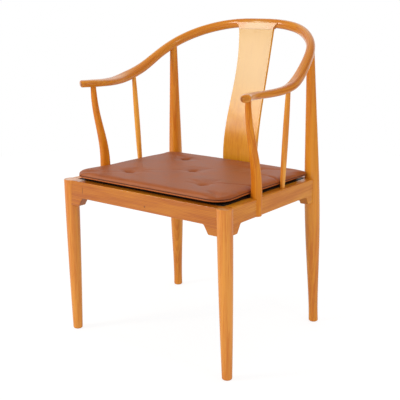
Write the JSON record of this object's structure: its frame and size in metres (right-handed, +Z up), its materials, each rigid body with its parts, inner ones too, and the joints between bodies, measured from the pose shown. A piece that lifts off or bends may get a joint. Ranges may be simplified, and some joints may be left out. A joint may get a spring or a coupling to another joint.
{
  "type": "horseshoe back armchair",
  "caption": "Wooden armchair with a horseshoe bow of crest and arms on tapered round legs, a curved back splat, arm stiles and spindles, bracketed seat rails and a loose tufted leather cushion.",
  "frame": {"origin": "on the floor, midway between the outermost left and right, front and rear points of the chair", "axes": "+Z up, the sitter faces -Y, +X is the right-hand side seen from the front"},
  "size_m": [0.5472, 0.5377, 0.82],
  "materials": {
    "cherry_turned": "satin lacquered cherry, grain along the piece",
    "cherry_rail": "satin lacquered cherry, grain along the rail",
    "cherry_bow": "satin lacquered cherry, grain along the bow",
    "cherry_splat": "satin lacquered cherry, upright grain",
    "dowel_wood": "plain beech",
    "panel_plywood": "plywood stained dark",
    "ledge_wood": "plain beech",
    "screw_steel": "zinc plated steel",
    "cushion_leather": "smooth cognac leather, slight sheen",
    "cushion_lining": "matt black lining"
  },
  "bodies": {
    "frame": {"front_leg_left": "cherry_turned", "front_leg_right": "cherry_turned", "rear_leg_left": "cherry_turned", "rear_leg_right": "cherry_turned", "front_rail": "cherry_rail", "rear_rail": "cherry_rail", "side_rail_left": "cherry_rail", "side_rail_right": "cherry_rail", "arm_stile_left": "cherry_turned", "arm_stile_right": "cherry_turned", "arm_spindle_left": "cherry_turned", "arm_spindle_right": "cherry_turned", "back_splat": "cherry_splat", "crest_rail": "cherry_bow", "arm_left": "cherry_bow", "arm_right": "cherry_bow", "bow_dowels": "dowel_wood", "seat_panel": "panel_plywood", "front_ledge": "ledge_wood", "rear_ledge": "ledge_wood", "side_ledge_left": "ledge_wood", "side_ledge_right": "ledge_wood", "ledge_screws": "screw_steel", "stile_screws": "screw_steel"},
    "cushion": {"cushion_pad": "cushion_leather", "cushion_base": "cushion_lining", "cushion_buttons": "cushion_leather"}
  },
  "joints": [
    {"name": "cushion_slide", "type": "slide", "parent": "frame", "child": "cushion", "axis": [0, -0.9998, 0.0175], "range_m": [0, 0.45]}
  ]
}
